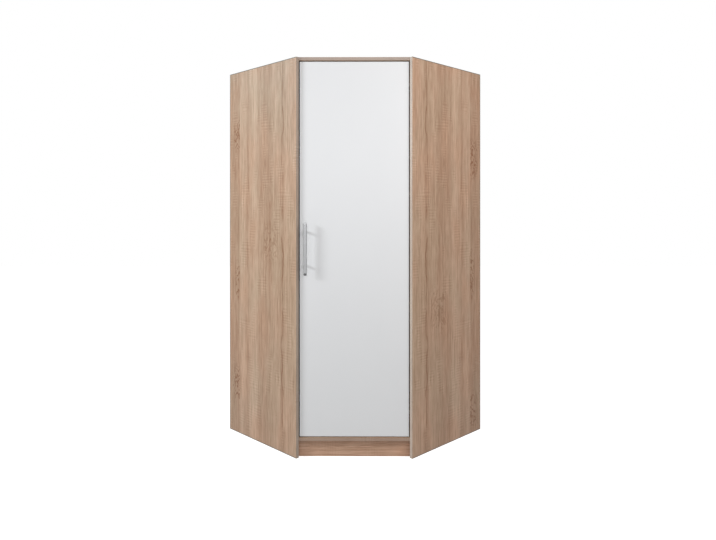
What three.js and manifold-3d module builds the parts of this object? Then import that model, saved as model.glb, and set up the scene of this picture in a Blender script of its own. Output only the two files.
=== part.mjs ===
// Corner wardrobe: a five-sided cabinet that fills a room corner, with one door across the corner.
// Lengths are in millimetres and +Z is up. The door faces -Y and the room corner is at the rear.
// The origin lies on the floor, in the middle of the whole wardrobe.
//
// Plan places are often given as (u, v): u runs along the right-hand wall from the room corner and
// v along the left-hand wall. Each side half is modelled for the right-hand wall and mirrored.

import * as THREE from 'three';
import { mergeVertices } from 'three/addons/utils/BufferGeometryUtils.js';
import Module from 'manifold-3d';

const wasm = await Module();
wasm.setup();

// Driving dimensions of the cabinet
const wallLeg = 950; // length of the cabinet along each wall
const sideDepth = 562; // how far a side panel stands out from its wall
const cabinetHeight = 1900;
const board = 16; // thickness of the carcass boards
const plinthHeight = 80;
const seatGap = 0.3; // left between pieces that rest against each other

// Back boards, their joining strips and the post in the room corner
const hardboard = 3; // thickness of the back boards
const rebateWidth = 8; // strip cut from a side panel's rear edge to take the back board
const backEdgeGap = 0.5;
const backEndMargin = 1; // back boards end this much short of the cabinet's top and bottom board
const joinerFlange = 0.8;
const joinerWeb = 1;
const joinerWidth = 14;
const joinerEndGap = 0.5;
const postWidth = 40;

// Plinth boards
const frontPlinthSetback = 20; // behind the front edges of the top and bottom boards
const rearPlinthSetback = 20; // in front of the walls

// Hat shelf and the pegs that carry it
const hatSpace = 334; // clear height between the hat shelf and the top board
const hatShelfSetback = 50; // behind the front edges of the top and bottom boards
const pegRadius = 2.5;
const pegLength = 16;
const pegSunk = 8; // length of peg inside the side panel
const pegChamfer = 0.6;
const pegClearance = 0.3;
const rearPegPlace = 80; // from the wall, along the side panel
const frontPegPlace = 430;

// Hanging rail, an upright oval tube under the hat shelf
const railLength = 900;
const railWidth = 15;
const railDepth = 30;
const railWall = 1.2;
const railBehindDoor = 300; // from the door's rear face to the middle of the rail
const railDrop = 60; // from the shelf's underside to the middle of the rail
const railCapFlange = 2;
const railCapPlug = 9;
const hangerRing = 2.5; // thickness of the ring round the rail
const hangerLength = 14; // along the rail
const hangerNeck = 6;
const hangerPlateWidth = 44;
const hangerPlateThickness = 3;
const hangerInset = 50; // from the rail's end to the middle of the outer hangers

// Door, inset between the carcass boards
const doorThickness = 16;
const doorSetback = 5; // behind the front edges of the top and bottom boards
const doorSideGap = 4;
const doorTopGap = 5;
const doorBottomGap = 4;

// Bar handle on two posts
const handleInset = 28; // from the door's free edge to the middle of the bar
const handleHeight = 992;
const handleLength = 253;
const handleCentres = 160; // between the posts
const handleReach = 35; // from the door's face to the front of the bar
const barWidth = 15;
const barThickness = 9;
const barEndSlope = 13; // length over which each end slopes back
const barEndRound = 6;
const barFlank = 3; // height of the bar's flat flanks behind its domed front
const handlePostRadius = 5;
const handleScrewRadius = 2;
const handleScrewHead = 4;
const handleScrewHeadThickness = 2.4;
const handleScrewGrip = 9; // length of screw inside the post
const screwClearance = 0.4;

// Four cup hinges on the right-hand side of the door
const hingeCount = 4;
const hingeEndInset = 100; // from the door's ends to the outer hinges
const pinInset = 22; // from the door's edge to the pin
const pinBehind = 3.2; // from the door's rear face to the pin
const pinRadius = 2;
const pinLength = 23;
const pinClearance = 0.15;
const cupInset = 21.5; // from the door's edge to the middle of the cup
const cupRadius = 17.5;
const cupDepth = 11;
const cupFloor = 1.5;
const cupWall = 2;
const cupClearance = 0.3;
const flangeRadius = 20;
const flangeThickness = 1.2;
const earCentres = 48; // between the two screws of a cup
const earOffset = 6; // from the cup's middle, away from the door's edge
const earRadius = 6;
const earScrewRadius = 2.2;
const knuckleRadius = 3;
const knuckleGap = 0.5; // between the knuckle and the lugs on each side
const lugThickness = 2.5;
const armThickness = 2.5;
const armClearance = 4; // from the edge of the opened door to the arm
const noseAngle = 100; // direction in which the arm leaves the pin, from +X
const noseBendRadius = 5;
const armBendRadius = 6;
const armStandOff = 8; // from the side panel to the middle of the arm
const armTail = 50;
const plateStart = 5; // from the arm's bend to the mounting plate
const plateThickness = 2;
const plateWingHeight = 48;
const plateWingWidth = 16;
const plateSpineHeight = 14;
const plateScrewCentres = 32;
const plateScrewRadius = 2.5;

// Two stops behind the free edge of the door
const stopInset = 30; // from the door's free edge to the middle of the stop
const stopWidth = 26;
const stopDepth = 14;
const stopHeight = 16;
const bumperRadius = 5;
const bumperLength = 3;

// Two angle brackets that tie the top board to the walls
const bracketPlace = 300; // from the room corner to the middle of the bracket
const bracketLength = 60;
const bracketLeg = 40;
const bracketThickness = 2;
const bracketHoleRadius = 2.6;
const bracketHoleCentres = 36;

const cutOverrun = 1; // cutters reach this far past what they cut
const roundSteps = 28; // sides of a large round piece
const smallRoundSteps = 16;
const curveSteps = 6;
const bendSteps = 6;

// Places that follow from the sizes
const boardRear = joinerFlange + seatGap + hardboard + seatGap; // rear edges of the boards, from the walls
const backSetback = joinerFlange + seatGap; // rear faces of the back boards, from the walls
const boardSide = wallLeg - board - seatGap; // side edges of the boards, along the walls
const bottomTop = plinthHeight + board;
const topUnderside = cabinetHeight - board;
const hatShelfTop = topUnderside - hatSpace;
const hatShelfUnderside = hatShelfTop - board;
const frontInnerX = (wallLeg - board - sideDepth) / Math.SQRT2; // inner front corner of a side panel
const frontLineY = -(wallLeg - board + sideDepth) / Math.SQRT2;
const doorRearY = frontLineY + doorSetback + doorThickness;
const doorWidth = 2 * (frontInnerX - doorSideGap);
const doorBottom = bottomTop + doorBottomGap;
const doorTop = topUnderside - doorTopGap;
const railY = doorRearY + railBehindDoor;
const railZ = hatShelfUnderside - railDrop;
const pinX = frontInnerX - doorSideGap - pinInset;
const pinY = doorRearY + pinBehind;

// Places round the hinge pin, measured from the pin
const doorBack = -pinBehind;
const doorFront = doorBack - doorThickness;
const doorFreeEdge = pinInset - doorWidth;
const cupX = pinInset - cupInset;
const cornerFromPinX = frontInnerX - pinX;
const cornerFromPinY = frontLineY - pinY;
const armRunY = pinInset + armClearance + armThickness / 2;
const armBendX = armRunY + cornerFromPinX - cornerFromPinY - armStandOff * Math.SQRT2;
const armBendAlongPanel = (armBendX - cornerFromPinX + armRunY - cornerFromPinY) / Math.SQRT2;
const lugOuter = pinLength / 2;
const lugInner = lugOuter - lugThickness;
const knuckleHalf = lugInner - knuckleGap;

// Materials, one short function for each finish
function finish(color, roughness, metalness) {
  return new THREE.MeshStandardMaterial({ color, roughness, metalness });
}

const oakLaminate = () => finish(0xb89a82, 0.6, 0);
const whiteFront = () => finish(0xe4e6e8, 0.45, 0);
const paleHardboard = () => finish(0xd8cfc2, 0.8, 0);
const satinSteel = () => finish(0xb4b6b9, 0.35, 1);
const nickelSteel = () => finish(0xb9b7b2, 0.3, 1);
const chromeTube = () => finish(0xc9ccd0, 0.15, 1);
const whitePlastic = () => finish(0xe6e4df, 0.5, 0);

// Shapes and solids

// A place on the floor plan, from its distances along the two walls.
function plan(u, v) {
  return new THREE.Vector2((u - v) / Math.SQRT2, -(u + v) / Math.SQRT2);
}

function rectangle(x0, x1, y0, y1) {
  const corners = [[x0, y0], [x1, y0], [x1, y1], [x0, y1]];
  return new THREE.Shape(corners.map(([x, y]) => new THREE.Vector2(x, y)));
}

// An upright outline with round ends, centred on (x, y).
function stadium(width, height, x = 0, y = 0) {
  const radius = width / 2;
  const rise = height / 2 - radius;
  const shape = new THREE.Shape();
  shape.absarc(x, y + rise, radius, 0, Math.PI, false);
  shape.absarc(x, y - rise, radius, Math.PI, 2 * Math.PI, false);
  shape.closePath();
  return shape;
}

// The outline of a strip bent along runs and turns, drawn by walking along its middle line.
function bentStrip(startAngle, thickness, moves) {
  const half = thickness / 2;
  const leftEdge = [];
  const rightEdge = [];
  const place = new THREE.Vector2();
  let heading = THREE.MathUtils.degToRad(startAngle);
  const mark = () => {
    const across = new THREE.Vector2(-Math.sin(heading), Math.cos(heading)).multiplyScalar(half);
    leftEdge.push(place.clone().add(across));
    rightEdge.unshift(place.clone().sub(across));
  };
  mark();
  for (const { run = 0, turn = 0, radius = 0 } of moves) {
    if (turn === 0) {
      place.add(new THREE.Vector2(Math.cos(heading), Math.sin(heading)).multiplyScalar(run));
      mark();
      continue;
    }
    const swing = Math.sign(turn) * radius;
    const startHeading = heading;
    const centre = place.clone();
    centre.add(new THREE.Vector2(-Math.sin(heading), Math.cos(heading)).multiplyScalar(swing));
    for (let step = 1; step <= bendSteps; step += 1) {
      heading = startHeading + (THREE.MathUtils.degToRad(turn) * step) / bendSteps;
      place.copy(centre);
      place.add(new THREE.Vector2(Math.sin(heading), -Math.cos(heading)).multiplyScalar(swing));
      mark();
    }
  }
  return new THREE.Shape([...leftEdge, ...rightEdge]);
}

function extrude(shape, length) {
  const options = { depth: length, bevelEnabled: false, curveSegments: curveSteps };
  return new THREE.ExtrudeGeometry(shape, options);
}

// A solid with its outline in plan, from one height to another.
function upright(shape, z0, z1) {
  return extrude(shape, z1 - z0).translate(0, 0, z0);
}

// A solid whose outline is drawn in (y, z), from one x to another.
function alongX(shape, x0, x1) {
  const turned = new THREE.Matrix4();
  turned.makeBasis(new THREE.Vector3(0, 1, 0), new THREE.Vector3(0, 0, 1), new THREE.Vector3(1, 0, 0));
  return extrude(shape, x1 - x0).applyMatrix4(turned).translate(x0, 0, 0);
}

// A solid whose outline is drawn in (x, z), from one y to another.
function alongY(shape, y0, y1) {
  return extrude(shape, y1 - y0).rotateX(Math.PI / 2).translate(0, y1, 0);
}

function block(x0, x1, y0, y1, z0, z1) {
  return upright(rectangle(x0, x1, y0, y1), z0, z1);
}

function rodX(radius, x0, x1, y, z, steps = smallRoundSteps) {
  const rod = new THREE.CylinderGeometry(radius, radius, x1 - x0, steps).rotateZ(Math.PI / 2);
  return rod.translate((x0 + x1) / 2, y, z);
}

function rodY(radius, y0, y1, x, z, steps = smallRoundSteps) {
  const rod = new THREE.CylinderGeometry(radius, radius, y1 - y0, steps);
  return rod.translate(x, (y0 + y1) / 2, z);
}

function rodZ(radius, z0, z1, x, y, steps = smallRoundSteps) {
  const rod = new THREE.CylinderGeometry(radius, radius, z1 - z0, steps).rotateX(Math.PI / 2);
  return rod.translate(x, y, (z0 + z1) / 2);
}

function toSolid(geometry) {
  const bare = geometry.clone();
  bare.deleteAttribute('normal');
  bare.deleteAttribute('uv');
  const welded = mergeVertices(bare);
  return new wasm.Manifold(new wasm.Mesh({
    numProp: 3,
    vertProperties: new Float32Array(welded.attributes.position.array),
    triVerts: new Uint32Array(welded.index.array),
  }));
}

function toGeometry(solid) {
  const { vertProperties, triVerts } = solid.getMesh();
  const geometry = new THREE.BufferGeometry();
  geometry.setAttribute('position', new THREE.BufferAttribute(vertProperties, 3));
  geometry.setIndex(new THREE.BufferAttribute(triVerts, 1));
  geometry.computeVertexNormals();
  return geometry;
}

function joined(first, ...others) {
  return toGeometry(others.reduce((solid, other) => solid.add(toSolid(other)), toSolid(first)));
}

function cut(base, ...cutters) {
  return toGeometry(cutters.reduce((solid, cutter) => solid.subtract(toSolid(cutter)), toSolid(base)));
}

function common(first, ...others) {
  return toGeometry(others.reduce((solid, other) => solid.intersect(toSolid(other)), toSolid(first)));
}

function piece(name, geometry, material) {
  const mesh = new THREE.Mesh(geometry, material);
  mesh.name = name;
  return mesh;
}

// Boards across the whole corner

// How far along one wall plus the other a line parallel to the door lies, set back from the front line.
function frontSum(setback) {
  return wallLeg - board + sideDepth - setback * Math.SQRT2;
}

function cornerBoard(rear, setback) {
  const reach = frontSum(setback) - boardSide;
  const outline = [
    plan(rear, rear),
    plan(boardSide, rear),
    plan(boardSide, reach),
    plan(reach, boardSide),
    plan(rear, boardSide),
  ];
  return new THREE.Shape(outline);
}

function topPanel() {
  return piece('top_panel', upright(cornerBoard(boardRear, 0), topUnderside, cabinetHeight), oakLaminate());
}

function bottomPanel() {
  return piece('bottom_panel', upright(cornerBoard(boardRear, 0), plinthHeight, bottomTop), oakLaminate());
}

function cornerPost() {
  const near = boardRear;
  const far = boardRear + postWidth;
  const outline = new THREE.Shape([plan(near, near), plan(far, near), plan(far, far), plan(near, far)]);
  return piece('corner_post', upright(outline, bottomTop, topUnderside), oakLaminate());
}

// The hat shelf stops short of the joining strips and is notched round the corner post.
function hatShelf() {
  const rear = boardRear + joinerFlange + seatGap;
  const notch = boardRear + postWidth + seatGap;
  const reach = frontSum(hatShelfSetback) - boardSide;
  const outline = [
    plan(notch, notch), plan(notch, rear), plan(boardSide, rear), plan(boardSide, reach),
    plan(reach, boardSide), plan(rear, boardSide), plan(rear, notch),
  ];
  const shelf = upright(new THREE.Shape(outline), hatShelfUnderside, hatShelfTop);
  return piece('hat_shelf', shelf, oakLaminate());
}

// The front plinth stands below the bottom board, with its ends cut along the side panels.
function frontPlinth() {
  const face = frontSum(frontPlinthSetback) - boardSide;
  const rear = frontSum(frontPlinthSetback + board) - boardSide;
  const outline = [
    plan(boardSide, face),
    plan(face, boardSide),
    plan(rear, boardSide),
    plan(boardSide, rear),
  ];
  return piece('front_plinth', upright(new THREE.Shape(outline), 0, plinthHeight), oakLaminate());
}

// One side half, modelled along the right-hand wall: local x is u and local y is minus v.

function pegHeight() {
  return hatShelfUnderside - seatGap - pegRadius;
}

// The side panel runs from floor to top, with a rebate for the back board and holes for two pegs.
function sidePanel(side) {
  const inner = wallLeg - board;
  const outline = new THREE.Shape([
    new THREE.Vector2(inner, -boardRear),
    new THREE.Vector2(inner, -sideDepth),
    new THREE.Vector2(wallLeg, -sideDepth),
    new THREE.Vector2(wallLeg, 0),
    new THREE.Vector2(inner + rebateWidth, 0),
    new THREE.Vector2(inner + rebateWidth, -boardRear),
  ]);
  const holes = [rearPegPlace, frontPegPlace].map((place) => (
    rodX(pegRadius + pegClearance, inner - cutOverrun, inner + pegSunk + pegClearance, -place, pegHeight())
  ));
  return piece(`side_panel_${side}`, cut(upright(outline, 0, cabinetHeight), ...holes), oakLaminate());
}

// A plain peg with chamfered ends, half in the side panel and half under the hat shelf.
function shelfPeg(side, end, place) {
  const profile = [
    new THREE.Vector2(0, 0),
    new THREE.Vector2(pegRadius - pegChamfer, 0),
    new THREE.Vector2(pegRadius, pegChamfer),
    new THREE.Vector2(pegRadius, pegLength - pegChamfer),
    new THREE.Vector2(pegRadius - pegChamfer, pegLength),
    new THREE.Vector2(0, pegLength),
  ];
  const turned = new THREE.LatheGeometry(profile, smallRoundSteps);
  const peg = piece(`shelf_peg_${side}_${end}`, turned, nickelSteel());
  peg.rotation.z = Math.PI / 2;
  peg.position.set(wallLeg - board + pegSunk, -place, pegHeight());
  return peg;
}

function rearPlinth(side, start) {
  const face = rearPlinthSetback + board;
  const plinth = block(start, boardSide, -face, -rearPlinthSetback, 0, plinthHeight);
  return piece(`rear_plinth_${side}`, plinth, oakLaminate());
}

function backPanel(name, start, end) {
  const top = cabinetHeight - backEndMargin;
  const bottom = plinthHeight + backEndMargin;
  const panel = block(start, end, -backSetback - hardboard, -backSetback, bottom, top);
  return piece(name, panel, paleHardboard());
}

// An H-shaped plastic strip that holds the edges of two back boards.
function backJoiner(side) {
  const middle = wallLeg / 2;
  const low = middle - joinerWidth / 2;
  const high = middle + joinerWidth / 2;
  const z0 = bottomTop + joinerEndGap;
  const z1 = topUnderside - joinerEndGap;
  const webFront = -boardRear - joinerFlange / 2;
  const strip = joined(
    block(low, high, -joinerFlange, 0, z0, z1),
    block(low, high, -boardRear - joinerFlange, -boardRear, z0, z1),
    block(middle - joinerWeb / 2, middle + joinerWeb / 2, webFront, -joinerFlange / 2, z0, z1),
  );
  return piece(`back_joiner_${side}`, strip, whitePlastic());
}

// An angle under the top board, against the back board, with two holes in each leg.
function wallBracket(side) {
  const rear = -boardRear;
  const top = topUnderside - seatGap;
  const outline = new THREE.Shape([
    new THREE.Vector2(rear, top),
    new THREE.Vector2(rear - bracketLeg, top),
    new THREE.Vector2(rear - bracketLeg, top - bracketThickness),
    new THREE.Vector2(rear - bracketThickness, top - bracketThickness),
    new THREE.Vector2(rear - bracketThickness, top - bracketLeg),
    new THREE.Vector2(rear, top - bracketLeg),
  ]);
  const start = bracketPlace - bracketLength / 2;
  const holes = [-1, 1].flatMap((way) => {
    const x = bracketPlace + (way * bracketHoleCentres) / 2;
    const middle = bracketLeg / 2 + bracketThickness / 2;
    const legEnd = rear - bracketThickness - cutOverrun;
    return [
      rodY(bracketHoleRadius, legEnd, rear + cutOverrun, x, top - middle),
      rodZ(bracketHoleRadius, top - bracketThickness - cutOverrun, top + cutOverrun, x, rear - middle),
    ];
  });
  const angle = cut(alongX(outline, start, start + bracketLength), ...holes);
  return piece(`wall_bracket_${side}`, angle, nickelSteel());
}

// The right-hand back board and plinth run into the room corner and the left-hand ones butt against them.
function sideHalf(side) {
  const reachesCorner = side === 'right';
  const mirror = new THREE.Group();
  mirror.scale.x = reachesCorner ? 1 : -1;
  const alongWall = new THREE.Group();
  alongWall.rotation.z = -Math.PI / 4;
  mirror.add(alongWall);
  const plinthStart = reachesCorner ? rearPlinthSetback : rearPlinthSetback + board + seatGap;
  const backStart = reachesCorner ? backSetback : backSetback + hardboard + seatGap;
  const seam = joinerWeb / 2 + seatGap;
  alongWall.add(
    sidePanel(side),
    shelfPeg(side, 'rear', rearPegPlace),
    shelfPeg(side, 'front', frontPegPlace),
    rearPlinth(side, plinthStart),
    backPanel(`back_panel_${side}_inner`, backStart, wallLeg / 2 - seam),
    backPanel(`back_panel_${side}_outer`, wallLeg / 2 + seam, wallLeg - board + rebateWidth - backEdgeGap),
    backJoiner(side),
    wallBracket(side),
  );
  return mirror;
}

// Hanging rail, in its own group: local origin at the middle of the rail

function hangingRail() {
  const outline = stadium(railWidth, railDepth);
  outline.holes.push(stadium(railWidth - 2 * railWall, railDepth - 2 * railWall));
  return piece('hanging_rail', alongX(outline, -railLength / 2, railLength / 2), chromeTube());
}

// A cap whose plug fits inside the rail and whose flange covers the cut end.
function railCap(side) {
  const end = railLength / 2 + seatGap;
  const plugGap = railWall + seatGap;
  const plug = stadium(railWidth - 2 * plugGap, railDepth - 2 * plugGap);
  const cap = joined(
    alongX(stadium(railWidth, railDepth), end, end + railCapFlange),
    alongX(plug, end - railCapPlug, end + railCapFlange / 2),
  );
  const mesh = piece(`rail_end_cap_${side}`, cap, whitePlastic());
  mesh.rotation.z = side === 'right' ? 0 : Math.PI;
  return mesh;
}

// A bracket with a ring round the rail, a neck and a plate screwed under the hat shelf.
function railHanger(place, x) {
  const ring = alongX(
    stadium(railWidth + 2 * (seatGap + hangerRing), railDepth + 2 * (seatGap + hangerRing)),
    x - hangerLength / 2,
    x + hangerLength / 2,
  );
  const bore = alongX(
    stadium(railWidth + 2 * seatGap, railDepth + 2 * seatGap),
    x - hangerLength / 2 - cutOverrun,
    x + hangerLength / 2 + cutOverrun,
  );
  const neck = block(
    x - hangerLength / 2, x + hangerLength / 2, -hangerNeck / 2, hangerNeck / 2,
    railDepth / 2 + seatGap + hangerRing / 2, railDrop - hangerPlateThickness / 2,
  );
  const plate = block(
    x - hangerLength / 2, x + hangerLength / 2, -hangerPlateWidth / 2, hangerPlateWidth / 2,
    railDrop - hangerPlateThickness, railDrop,
  );
  return piece(`rail_hanger_${place}`, cut(joined(ring, neck, plate), bore), nickelSteel());
}

function rail() {
  const group = new THREE.Group();
  group.position.set(0, railY, railZ);
  const outer = railLength / 2 - hangerInset;
  group.add(
    hangingRail(),
    railCap('left'),
    railCap('right'),
    railHanger('left', -outer),
    railHanger('centre', 0),
    railHanger('right', outer),
  );
  return group;
}

// Door, in a group at the hinge pin: local origin on the pin's axis, at floor level

function hingeHeight(index) {
  const low = doorBottom + hingeEndInset;
  const high = doorTop - hingeEndInset;
  return low + ((high - low) * index) / Math.max(hingeCount - 1, 1);
}

const hingeHeights = Array.from({ length: hingeCount }, (unused, index) => hingeHeight(index));
const handleX = doorFreeEdge + handleInset;
const handlePostHeights = {
  upper: handleHeight + handleCentres / 2,
  lower: handleHeight - handleCentres / 2,
};

// The door panel is bored for the hinge cups and drilled for the handle screws.
function doorPanel() {
  const boreFloor = doorBack - cupDepth - cupClearance;
  const cupBores = hingeHeights.map((z) => (
    rodY(cupRadius + cupClearance, boreFloor, doorBack + cutOverrun, cupX, z, roundSteps)
  ));
  const screwHoles = Object.values(handlePostHeights).map((z) => (
    rodY(handleScrewRadius + screwClearance, doorFront - cutOverrun, doorBack + cutOverrun, handleX, z)
  ));
  const panel = block(doorFreeEdge, pinInset, doorFront, doorBack, doorBottom, doorTop);
  return piece('door_panel', cut(panel, ...cupBores, ...screwHoles), whiteFront());
}

// The bar has a domed front, round corners and ends that slope back towards the door.
function handleBar() {
  const back = doorFront - handleReach + barThickness;
  const front = back - barThickness;
  const top = handleHeight + handleLength / 2;
  const bottom = handleHeight - handleLength / 2;
  const left = handleX - barWidth / 2;
  const right = handleX + barWidth / 2;
  const section = new THREE.Shape();
  section.moveTo(right, back);
  section.lineTo(left, back);
  section.lineTo(left, back - barFlank);
  section.absellipse(
    handleX, back - barFlank, barWidth / 2, barThickness - barFlank,
    Math.PI, 2 * Math.PI, false,
  );
  section.closePath();
  const outline = new THREE.Shape();
  outline.moveTo(left + barEndRound, bottom);
  outline.absarc(right - barEndRound, bottom + barEndRound, barEndRound, -Math.PI / 2, 0, false);
  outline.absarc(right - barEndRound, top - barEndRound, barEndRound, 0, Math.PI / 2, false);
  outline.absarc(left + barEndRound, top - barEndRound, barEndRound, Math.PI / 2, Math.PI, false);
  outline.absarc(left + barEndRound, bottom + barEndRound, barEndRound, Math.PI, Math.PI * 1.5, false);
  outline.closePath();
  const profile = new THREE.Shape([
    new THREE.Vector2(back, bottom),
    new THREE.Vector2(back, top),
    new THREE.Vector2(front, top - barEndSlope),
    new THREE.Vector2(front, bottom + barEndSlope),
  ]);
  const bar = common(
    upright(section, bottom, top),
    alongY(outline, front, back),
    alongX(profile, left, right),
  );
  return piece('handle_bar', bar, satinSteel());
}

function handlePost(place) {
  const z = handlePostHeights[place];
  const rear = doorFront - seatGap;
  const front = doorFront - handleReach + barThickness + seatGap;
  const drilled = rear - handleScrewGrip - screwClearance;
  const post = cut(
    rodY(handlePostRadius, front, rear, handleX, z),
    rodY(handleScrewRadius + screwClearance, drilled, rear + cutOverrun, handleX, z),
  );
  return piece(`handle_post_${place}`, post, satinSteel());
}

function handleScrew(place) {
  const z = handlePostHeights[place];
  const seat = doorBack + seatGap;
  const screw = joined(
    rodY(handleScrewHead, seat, seat + handleScrewHeadThickness, handleX, z),
    rodY(handleScrewRadius, doorFront - handleScrewGrip, seat + handleScrewHeadThickness / 2, handleX, z),
  );
  return piece(`handle_screw_${place}`, screw, nickelSteel());
}

// The cup sits in the door, with screw ears on a flange and two lugs that hold the pin.
function hingeCup(number, z) {
  const flangeBack = doorBack + seatGap;
  const flangeTop = flangeBack + flangeThickness;
  const cupBottom = doorBack - cupDepth;
  const earX = cupX - earOffset;
  const lugs = [-1, 1].flatMap((way) => {
    const [low, high] = [way * lugInner, way * lugOuter].sort((a, b) => a - b);
    return [
      block(-knuckleRadius, knuckleRadius, flangeBack, 0, z + low, z + high),
      rodZ(knuckleRadius, z + low, z + high, 0, 0),
    ];
  });
  const body = joined(
    rodY(cupRadius, cupBottom, flangeTop, cupX, z, roundSteps),
    rodY(flangeRadius, flangeBack, flangeTop, cupX, z, roundSteps),
    alongY(stadium(2 * earRadius, earCentres + 2 * earRadius, earX, z), flangeBack, flangeTop),
    ...lugs,
  );
  const slotHalf = lugInner - knuckleGap / 4;
  const slot = block(
    cupX - flangeRadius, pinInset, cupBottom + cupFloor, knuckleRadius,
    z - slotHalf, z + slotHalf,
  );
  const pocket = common(rodY(cupRadius - cupWall, cupBottom, knuckleRadius, cupX, z, roundSteps), slot);
  const edgeSlot = block(0, pinInset, doorBack, knuckleRadius + cutOverrun, z - slotHalf, z + slotHalf);
  const earScrews = [-1, 1].map((way) => (
    rodY(earScrewRadius, flangeBack - cutOverrun, flangeTop + cutOverrun, earX, z + (way * earCentres) / 2)
  ));
  const boreHalf = lugOuter + seatGap;
  const pinBore = rodZ(pinRadius + pinClearance, z - boreHalf, z + boreHalf, 0, 0);
  return piece(`hinge_cup_${number}`, cut(body, pocket, edgeSlot, pinBore, ...earScrews), nickelSteel());
}

function hingePin(number, z) {
  return piece(`hinge_pin_${number}`, rodZ(pinRadius, z - lugOuter, z + lugOuter, 0, 0), nickelSteel());
}

function door() {
  const group = new THREE.Group();
  group.position.set(pinX, pinY, 0);
  group.add(doorPanel(), handleBar());
  for (const place of ['upper', 'lower']) {
    group.add(handlePost(place), handleScrew(place));
  }
  hingeHeights.forEach((z, index) => {
    group.add(hingeCup(index + 1, z), hingePin(index + 1, z));
  });
  return group;
}

// Hinge arms and mounting plates, which stay on the cabinet

// The arm leaves the pin towards the rear, turns round the edge of the opened door, and then
// bends to lie along the side panel.
function hingeArm(number, z) {
  const nose = THREE.MathUtils.degToRad(noseAngle);
  const noseRun = (armRunY - noseBendRadius * (1 - Math.cos(nose))) / Math.sin(nose);
  const bendEndX = noseRun * Math.cos(nose) + noseBendRadius * Math.sin(nose);
  const tangent = armBendRadius * Math.tan(Math.PI / 8);
  const strip = bentStrip(noseAngle, armThickness, [
    { run: noseRun },
    { turn: -noseAngle, radius: noseBendRadius },
    { run: armBendX - tangent - bendEndX },
    { turn: 45, radius: armBendRadius },
    { run: armTail - tangent },
  ]);
  const arm = cut(
    joined(
      upright(strip, z - knuckleHalf, z + knuckleHalf),
      rodZ(knuckleRadius, z - knuckleHalf, z + knuckleHalf, 0, 0),
    ),
    rodZ(pinRadius + pinClearance, z - lugOuter, z + lugOuter, 0, 0),
  );
  const mesh = piece(`hinge_arm_${number}`, arm, nickelSteel());
  mesh.position.set(pinX, pinY, 0);
  return mesh;
}

// The plate is screwed to the side panel. Local x runs along the panel from its front edge.
function hingePlate(number, z) {
  const start = armBendAlongPanel + plateStart;
  const end = armBendAlongPanel + armTail;
  const middle = (start + end) / 2;
  const spineTop = armStandOff - armThickness / 2 - seatGap;
  const wings = block(
    middle - plateWingWidth / 2, middle + plateWingWidth / 2, seatGap, seatGap + plateThickness,
    z - plateWingHeight / 2, z + plateWingHeight / 2,
  );
  const spine = block(start, end, seatGap, spineTop, z - plateSpineHeight / 2, z + plateSpineHeight / 2);
  const screws = [-1, 1].map((way) => (
    rodY(
      plateScrewRadius, seatGap - cutOverrun, seatGap + plateThickness + cutOverrun,
      middle, z + (way * plateScrewCentres) / 2,
    )
  ));
  const mesh = piece(`hinge_plate_${number}`, cut(joined(wings, spine), ...screws), nickelSteel());
  mesh.position.set(frontInnerX, frontLineY, 0);
  mesh.rotation.z = Math.PI / 4;
  return mesh;
}

// A block with a round bumper that meets the closed door near its free edge.
function doorStop(place) {
  const x = doorSideGap - frontInnerX + stopInset;
  const z0 = place === 'top' ? topUnderside - stopHeight : bottomTop;
  const z1 = z0 + stopHeight;
  const face = doorRearY + seatGap + bumperLength;
  const stop = joined(
    block(x - stopWidth / 2, x + stopWidth / 2, face, face + stopDepth, z0, z1),
    rodY(bumperRadius, face - bumperLength, face + stopDepth / 2, x, (z0 + z1) / 2),
  );
  return piece(`door_stop_${place}`, stop, whitePlastic());
}

function carcass() {
  const group = new THREE.Group();
  group.add(
    topPanel(),
    bottomPanel(),
    hatShelf(),
    frontPlinth(),
    cornerPost(),
    sideHalf('left'),
    sideHalf('right'),
    rail(),
    doorStop('top'),
    doorStop('bottom'),
  );
  hingeHeights.forEach((z, index) => {
    group.add(hingeArm(index + 1, z), hingePlate(index + 1, z));
  });
  return group;
}

// The whole wardrobe, moved from the room corner to the middle of its own length from front to rear.
const wardrobe = new THREE.Group();
wardrobe.add(carcass(), door());
const frontReach = doorRearY - doorThickness - handleReach;
const rearReach = -backSetback * Math.SQRT2;
wardrobe.position.y = -(frontReach + rearReach) / 2;

export default wardrobe;
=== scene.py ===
# %% [markdown]
# Corner wardrobe
#
# A five-sided wardrobe stands across the corner of a room. Its boards are chipboard with a
# printed oak foil, its door is plain white, and a short metal bar is the only ornament.
# The solid model already gives every board, hinge and fitting its true size and place. This
# lesson loads it as a fixed frame and gives it finishes, small hardware, light and a camera.

import math

import bmesh
import bpy
from mathutils import Matrix, Vector


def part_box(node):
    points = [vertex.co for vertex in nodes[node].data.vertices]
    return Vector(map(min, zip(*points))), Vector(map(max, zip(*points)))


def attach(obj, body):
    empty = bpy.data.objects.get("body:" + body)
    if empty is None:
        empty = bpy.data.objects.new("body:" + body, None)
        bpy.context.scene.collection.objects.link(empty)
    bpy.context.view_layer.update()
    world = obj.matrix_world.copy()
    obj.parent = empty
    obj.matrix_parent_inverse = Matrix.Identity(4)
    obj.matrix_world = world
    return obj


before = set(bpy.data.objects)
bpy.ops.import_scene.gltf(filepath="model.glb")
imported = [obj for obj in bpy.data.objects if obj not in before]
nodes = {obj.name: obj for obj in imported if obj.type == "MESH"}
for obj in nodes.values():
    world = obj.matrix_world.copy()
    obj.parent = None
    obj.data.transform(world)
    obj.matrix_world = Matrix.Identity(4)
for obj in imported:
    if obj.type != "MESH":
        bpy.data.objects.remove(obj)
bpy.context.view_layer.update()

# %% [markdown]
# Everything that is added later is placed from the boards themselves, so the few sizes that
# matter are measured on the frame. The two walls of the room meet behind the wardrobe, in
# the middle, and each side panel stands square to its wall, 45 degrees off the door.

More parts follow.
